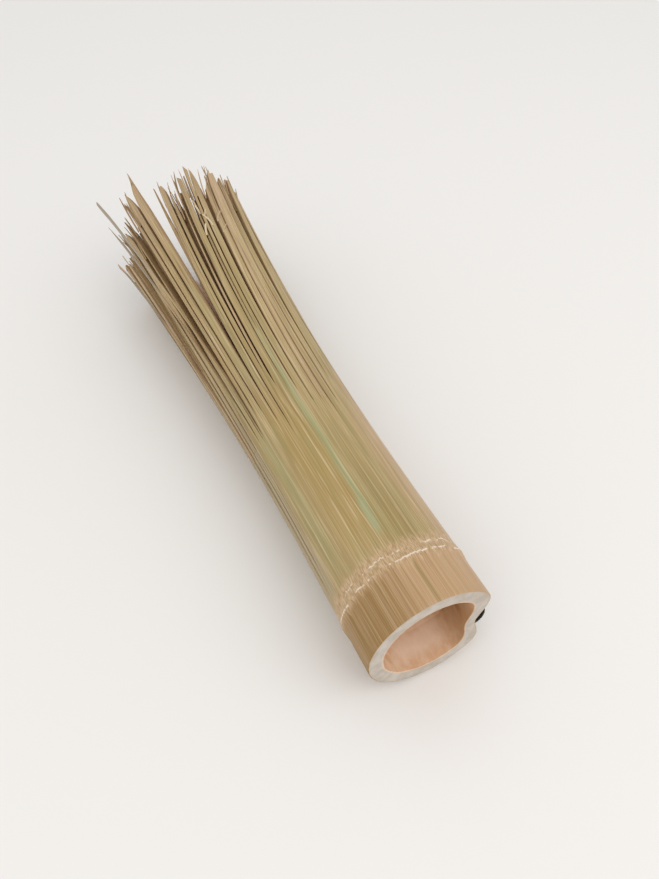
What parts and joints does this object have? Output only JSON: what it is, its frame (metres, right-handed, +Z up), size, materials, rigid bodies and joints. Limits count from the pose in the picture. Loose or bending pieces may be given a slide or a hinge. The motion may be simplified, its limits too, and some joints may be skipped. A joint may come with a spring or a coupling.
{
  "type": "bamboo pot brush",
  "caption": "Split-bamboo pot brush: a hollow culm handle with a node, a ring of springy splints divided into fine tines, and a black hanging cord.",
  "frame": {"origin": "on the surface the brush lies on, under the middle of its bounding box", "axes": "+Y runs along the culm from the cut end to the tines, +Z is up, +X is the side with the branch groove and cord"},
  "size_m": [0.0782, 0.2898, 0.0603],
  "materials": {
    "culm_skin": "dry scraped bamboo skin, satin, olive to tan",
    "splint": "split bamboo, satin skin and matt fibrous sides",
    "stray_strip": "split bamboo, matt",
    "pith": "matt inner wall of the culm",
    "cord": "black twisted cord"
  },
  "bodies": {
    "handle": {"culm_handle": "culm_skin", "node_septum": "pith"},
    "cord": {"hanging_cord": "cord", "cord_knot": "cord"},
    "splint_01": {"splint_01": "splint"},
    "splint_02": {"splint_02": "splint"},
    "splint_03": {"splint_03": "splint"},
    "splint_04": {"splint_04": "splint"},
    "splint_05": {"splint_05": "splint"},
    "splint_06": {"splint_06": "splint"},
    "splint_07": {"splint_07": "splint"},
    "splint_08": {"splint_08": "splint"},
    "splint_09": {"splint_09": "splint"},
    "splint_10": {"splint_10": "splint"},
    "splint_11": {"splint_11": "splint"},
    "splint_12": {"splint_12": "splint"},
    "splint_13": {"splint_13": "splint"},
    "splint_14": {"splint_14": "splint"},
    "splint_15": {"splint_15": "splint"},
    "splint_16": {"splint_16": "splint"},
    "splint_17": {"splint_17": "splint"},
    "splint_18": {"splint_18": "splint"},
    "splint_19": {"splint_19": "splint"},
    "splint_20": {"splint_20": "splint"},
    "splint_21": {"splint_21": "splint"},
    "splint_22": {"splint_22": "splint"},
    "splint_23": {"splint_23": "splint"},
    "splint_24": {"splint_24": "splint"},
    "splint_25": {"splint_25": "splint"},
    "splint_26": {"splint_26": "splint"},
    "splint_27": {"splint_27": "splint"},
    "splint_28": {"splint_28": "splint"},
    "splint_29": {"splint_29": "splint"},
    "splint_30": {"splint_30": "splint"},
    "splint_31": {"splint_31": "splint"},
    "splint_32": {"splint_32": "splint"},
    "splint_33": {"splint_33": "splint"},
    "splint_34": {"splint_34": "splint"},
    "splint_35": {"splint_35": "splint"},
    "splint_36": {"splint_36": "splint"},
    "splint_37": {"splint_37": "splint"},
    "splint_38": {"splint_38": "splint"},
    "splint_39": {"splint_39": "splint"},
    "splint_40": {"splint_40": "splint"},
    "splint_41": {"splint_41": "splint"},
    "splint_42": {"splint_42": "splint"},
    "splint_43": {"splint_43": "splint"},
    "splint_44": {"splint_44": "splint"},
    "splint_45": {"splint_45": "splint"},
    "splint_46": {"splint_46": "splint"},
    "splint_47": {"splint_47": "splint"},
    "splint_48": {"splint_48": "splint"},
    "stray_strip_1": {"stray_strip_1": "stray_strip"},
    "stray_strip_2": {"stray_strip_2": "stray_strip"},
    "stray_strip_3": {"stray_strip_3": "stray_strip"}
  },
  "joints": [
    {"name": "cord_swing", "type": "hinge", "parent": "handle", "child": "cord", "pos_m": [0.02216, -0.13185, 0.02396], "axis": [0.9962, 0, -0.0872], "range_deg": [0, 180]},
    {"name": "stray_strip_1_bend", "type": "hinge", "parent": "handle", "child": "stray_strip_1", "pos_m": [-0.01977, -0.04445, 0.04123], "axis": [0.5765, 0, 0.8171], "range_deg": [-1, 10], "stiffness_Nm_per_rad": 0.5},
    {"name": "stray_strip_2_bend", "type": "hinge", "parent": "handle", "child": "stray_strip_2", "pos_m": [-0.02115, -0.04445, 0.03798], "axis": [0.4649, 0, 0.8854], "range_deg": [-1, 10], "stiffness_Nm_per_rad": 0.5},
    {"name": "stray_strip_3_bend", "type": "hinge", "parent": "handle", "child": "stray_strip_3", "pos_m": [-0.02382, -0.04445, 0.02808], "axis": [0.0907, 0, 0.9959], "range_deg": [-1, 10], "stiffness_Nm_per_rad": 0.5},
    {"name": "splint_01_bend", "type": "hinge", "parent": "handle", "child": "splint_01", "pos_m": [-0.0011, -0.04445, 0.00037], "axis": [-0.9914, 0, 0.1305], "range_deg": [-1, 10], "stiffness_Nm_per_rad": 0.5},
    {"name": "splint_02_bend", "type": "hinge", "parent": "handle", "child": "splint_02", "pos_m": [-0.00439, -0.04445, 0.00096], "axis": [-0.9659, 0, 0.2588], "range_deg": [-1, 10], "stiffness_Nm_per_rad": 0.5},
    {"name": "splint_03_bend", "type": "hinge", "parent": "handle", "child": "splint_03", "pos_m": [-0.00756, -0.04445, 0.00203], "axis": [-0.9239, 0, 0.3827], "range_deg": [-1, 10], "stiffness_Nm_per_rad": 0.5},
    {"name": "splint_04_bend", "type": "hinge", "parent": "handle", "child": "splint_04", "pos_m": [-0.01057, -0.04445, 0.00351], "axis": [-0.866, 0, 0.5], "range_deg": [-1, 10], "stiffness_Nm_per_rad": 0.5},
    {"name": "splint_05_bend", "type": "hinge", "parent": "handle", "child": "splint_05", "pos_m": [-0.01336, -0.04445, 0.00538], "axis": [-0.7934, 0, 0.6088], "range_deg": [-1, 10], "stiffness_Nm_per_rad": 0.5},
    {"name": "splint_06_bend", "type": "hinge", "parent": "handle", "child": "splint_06", "pos_m": [-0.01588, -0.04445, 0.00759], "axis": [-0.7071, 0, 0.7071], "range_deg": [-1, 10], "stiffness_Nm_per_rad": 0.5},
    {"name": "splint_07_bend", "type": "hinge", "parent": "handle", "child": "splint_07", "pos_m": [-0.01809, -0.04445, 0.01011], "axis": [-0.6088, 0, 0.7934], "range_deg": [-1, 10], "stiffness_Nm_per_rad": 0.5},
    {"name": "splint_08_bend", "type": "hinge", "parent": "handle", "child": "splint_08", "pos_m": [-0.01995, -0.04445, 0.01289], "axis": [-0.5, 0, 0.866], "range_deg": [-1, 10], "stiffness_Nm_per_rad": 0.5},
    {"name": "splint_09_bend", "type": "hinge", "parent": "handle", "child": "splint_09", "pos_m": [-0.02143, -0.04445, 0.0159], "axis": [-0.3827, 0, 0.9239], "range_deg": [-1, 10], "stiffness_Nm_per_rad": 0.5},
    {"name": "splint_10_bend", "type": "hinge", "parent": "handle", "child": "splint_10", "pos_m": [-0.02251, -0.04445, 0.01907], "axis": [-0.2588, 0, 0.9659], "range_deg": [-1, 10], "stiffness_Nm_per_rad": 0.5},
    {"name": "splint_11_bend", "type": "hinge", "parent": "handle", "child": "splint_11", "pos_m": [-0.02316, -0.04445, 0.02236], "axis": [-0.1305, 0, 0.9914], "range_deg": [-1, 10], "stiffness_Nm_per_rad": 0.5},
    {"name": "splint_12_bend", "type": "hinge", "parent": "handle", "child": "splint_12", "pos_m": [-0.02338, -0.04445, 0.0257], "axis": [0, 0, 1], "range_deg": [-1, 10], "stiffness_Nm_per_rad": 0.5},
    {"name": "splint_13_bend", "type": "hinge", "parent": "handle", "child": "splint_13", "pos_m": [-0.02307, -0.04445, 0.02969], "axis": [0.1556, 0, 0.9878], "range_deg": [-1, 10], "stiffness_Nm_per_rad": 0.5},
    {"name": "splint_14_bend", "type": "hinge", "parent": "handle", "child": "splint_14", "pos_m": [-0.02251, -0.04445, 0.03233], "axis": [0.2588, 0, 0.9659], "range_deg": [-1, 10], "stiffness_Nm_per_rad": 0.5},
    {"name": "splint_15_bend", "type": "hinge", "parent": "handle", "child": "splint_15", "pos_m": [-0.02143, -0.04445, 0.03551], "axis": [0.3827, 0, 0.9239], "range_deg": [-1, 10], "stiffness_Nm_per_rad": 0.5},
    {"name": "splint_16_bend", "type": "hinge", "parent": "handle", "child": "splint_16", "pos_m": [-0.01968, -0.04445, 0.03911], "axis": [0.5218, 0, 0.8531], "range_deg": [-1, 10], "stiffness_Nm_per_rad": 0.5},
    {"name": "splint_17_bend", "type": "hinge", "parent": "handle", "child": "splint_17", "pos_m": [-0.01784, -0.04445, 0.04193], "axis": [0.6287, 0, 0.7776], "range_deg": [-1, 10], "stiffness_Nm_per_rad": 0.5},
    {"name": "splint_18_bend", "type": "hinge", "parent": "handle", "child": "splint_18", "pos_m": [-0.0161, -0.04445, 0.04404], "axis": [0.7071, 0, 0.7071], "range_deg": [-1, 10], "stiffness_Nm_per_rad": 0.5},
    {"name": "splint_19_bend", "type": "hinge", "parent": "handle", "child": "splint_19", "pos_m": [-0.01362, -0.04445, 0.04637], "axis": [0.7934, 0, 0.6088], "range_deg": [-1, 10], "stiffness_Nm_per_rad": 0.5},
    {"name": "splint_20_bend", "type": "hinge", "parent": "handle", "child": "splint_20", "pos_m": [-0.01057, -0.04445, 0.04789], "axis": [0.866, 0, 0.5], "range_deg": [-1, 10], "stiffness_Nm_per_rad": 0.5},
    {"name": "splint_21_bend", "type": "hinge", "parent": "handle", "child": "splint_21", "pos_m": [-0.00756, -0.04445, 0.04937], "axis": [0.9239, 0, 0.3827], "range_deg": [-1, 10], "stiffness_Nm_per_rad": 0.5},
    {"name": "splint_22_bend", "type": "hinge", "parent": "handle", "child": "splint_22", "pos_m": [-0.00439, -0.04445, 0.05045], "axis": [0.9659, 0, 0.2588], "range_deg": [-1, 10], "stiffness_Nm_per_rad": 0.5},
    {"name": "splint_23_bend", "type": "hinge", "parent": "handle", "child": "splint_23", "pos_m": [-0.00111, -0.04445, 0.0511], "axis": [0.9914, 0, 0.1305], "range_deg": [-1, 10], "stiffness_Nm_per_rad": 0.5},
    {"name": "splint_24_bend", "type": "hinge", "parent": "handle", "child": "splint_24", "pos_m": [0.00224, -0.04445, 0.05132], "axis": [1, 0, 0], "range_deg": [-1, 10], "stiffness_Nm_per_rad": 0.5},
    {"name": "splint_25_bend", "type": "hinge", "parent": "handle", "child": "splint_25", "pos_m": [0.00558, -0.04445, 0.0511], "axis": [0.9914, 0, -0.1305], "range_deg": [-1, 10], "stiffness_Nm_per_rad": 0.5},
    {"name": "splint_26_bend", "type": "hinge", "parent": "handle", "child": "splint_26", "pos_m": [0.00887, -0.04445, 0.05045], "axis": [0.9659, 0, -0.2588], "range_deg": [-1, 10], "stiffness_Nm_per_rad": 0.5},
    {"name": "splint_27_bend", "type": "hinge", "parent": "handle", "child": "splint_27", "pos_m": [0.01204, -0.04445, 0.04937], "axis": [0.9239, 0, -0.3827], "range_deg": [-1, 10], "stiffness_Nm_per_rad": 0.5},
    {"name": "splint_28_bend", "type": "hinge", "parent": "handle", "child": "splint_28", "pos_m": [0.01505, -0.04445, 0.04789], "axis": [0.866, 0, -0.5], "range_deg": [-1, 10], "stiffness_Nm_per_rad": 0.5},
    {"name": "splint_29_bend", "type": "hinge", "parent": "handle", "child": "splint_29", "pos_m": [0.01784, -0.04445, 0.04603], "axis": [0.7934, 0, -0.6088], "range_deg": [-1, 10], "stiffness_Nm_per_rad": 0.5},
    {"name": "splint_30_bend", "type": "hinge", "parent": "handle", "child": "splint_30", "pos_m": [0.02036, -0.04445, 0.04382], "axis": [0.7071, 0, -0.7071], "range_deg": [-1, 10], "stiffness_Nm_per_rad": 0.5},
    {"name": "splint_31_bend", "type": "hinge", "parent": "handle", "child": "splint_31", "pos_m": [0.02257, -0.04445, 0.0413], "axis": [0.6088, 0, -0.7934], "range_deg": [-1, 10], "stiffness_Nm_per_rad": 0.5},
    {"name": "splint_32_bend", "type": "hinge", "parent": "handle", "child": "splint_32", "pos_m": [0.02443, -0.04445, 0.03851], "axis": [0.5, 0, -0.866], "range_deg": [-1, 10], "stiffness_Nm_per_rad": 0.5},
    {"name": "splint_33_bend", "type": "hinge", "parent": "handle", "child": "splint_33", "pos_m": [0.02591, -0.04445, 0.03551], "axis": [0.3827, 0, -0.9239], "range_deg": [-1, 10], "stiffness_Nm_per_rad": 0.5},
    {"name": "splint_34_bend", "type": "hinge", "parent": "handle", "child": "splint_34", "pos_m": [0.02699, -0.04445, 0.03233], "axis": [0.2588, 0, -0.9659], "range_deg": [-1, 10], "stiffness_Nm_per_rad": 0.5},
    {"name": "splint_35_bend", "type": "hinge", "parent": "handle", "child": "splint_35", "pos_m": [0.02764, -0.04445, 0.02905], "axis": [0.1305, 0, -0.9914], "range_deg": [-1, 10], "stiffness_Nm_per_rad": 0.5},
    {"name": "splint_36_bend", "type": "hinge", "parent": "handle", "child": "splint_36", "pos_m": [0.02786, -0.04445, 0.0257], "axis": [0, 0, -1], "range_deg": [-1, 10], "stiffness_Nm_per_rad": 0.5},
    {"name": "splint_37_bend", "type": "hinge", "parent": "handle", "child": "splint_37", "pos_m": [0.02764, -0.04445, 0.02236], "axis": [-0.1305, 0, -0.9914], "range_deg": [-1, 10], "stiffness_Nm_per_rad": 0.5},
    {"name": "splint_38_bend", "type": "hinge", "parent": "handle", "child": "splint_38", "pos_m": [0.02699, -0.04445, 0.01907], "axis": [-0.2588, 0, -0.9659], "range_deg": [-1, 10], "stiffness_Nm_per_rad": 0.5},
    {"name": "splint_39_bend", "type": "hinge", "parent": "handle", "child": "splint_39", "pos_m": [0.02591, -0.04445, 0.0159], "axis": [-0.3827, 0, -0.9239], "range_deg": [-1, 10], "stiffness_Nm_per_rad": 0.5},
    {"name": "splint_40_bend", "type": "hinge", "parent": "handle", "child": "splint_40", "pos_m": [0.02443, -0.04445, 0.01289], "axis": [-0.5, 0, -0.866], "range_deg": [-1, 10], "stiffness_Nm_per_rad": 0.5},
    {"name": "splint_41_bend", "type": "hinge", "parent": "handle", "child": "splint_41", "pos_m": [0.02257, -0.04445, 0.01011], "axis": [-0.6088, 0, -0.7934], "range_deg": [-1, 10], "stiffness_Nm_per_rad": 0.5},
    {"name": "splint_42_bend", "type": "hinge", "parent": "handle", "child": "splint_42", "pos_m": [0.02036, -0.04445, 0.00759], "axis": [-0.7071, 0, -0.7071], "range_deg": [-1, 10], "stiffness_Nm_per_rad": 0.5},
    {"name": "splint_43_bend", "type": "hinge", "parent": "handle", "child": "splint_43", "pos_m": [0.01784, -0.04445, 0.00538], "axis": [-0.7934, 0, -0.6088], "range_deg": [-1, 10], "stiffness_Nm_per_rad": 0.5},
    {"name": "splint_44_bend", "type": "hinge", "parent": "handle", "child": "splint_44", "pos_m": [0.01505, -0.04445, 0.00351], "axis": [-0.866, 0, -0.5], "range_deg": [-1, 10], "stiffness_Nm_per_rad": 0.5},
    {"name": "splint_45_bend", "type": "hinge", "parent": "handle", "child": "splint_45", "pos_m": [0.01204, -0.04445, 0.00203], "axis": [-0.9239, 0, -0.3827], "range_deg": [-1, 10], "stiffness_Nm_per_rad": 0.5},
    {"name": "splint_46_bend", "type": "hinge", "parent": "handle", "child": "splint_46", "pos_m": [0.00887, -0.04445, 0.00096], "axis": [-0.9659, 0, -0.2588], "range_deg": [-1, 10], "stiffness_Nm_per_rad": 0.5},
    {"name": "splint_47_bend", "type": "hinge", "parent": "handle", "child": "splint_47", "pos_m": [0.00558, -0.04445, 0.00037], "axis": [-0.9914, 0, -0.1305], "range_deg": [-1, 10], "stiffness_Nm_per_rad": 0.5},
    {"name": "splint_48_bend", "type": "hinge", "parent": "handle", "child": "splint_48", "pos_m": [0.00224, -0.04445, 0.0002], "axis": [-1, 0, 0], "range_deg": [-1, 10], "stiffness_Nm_per_rad": 0.5}
  ]
}
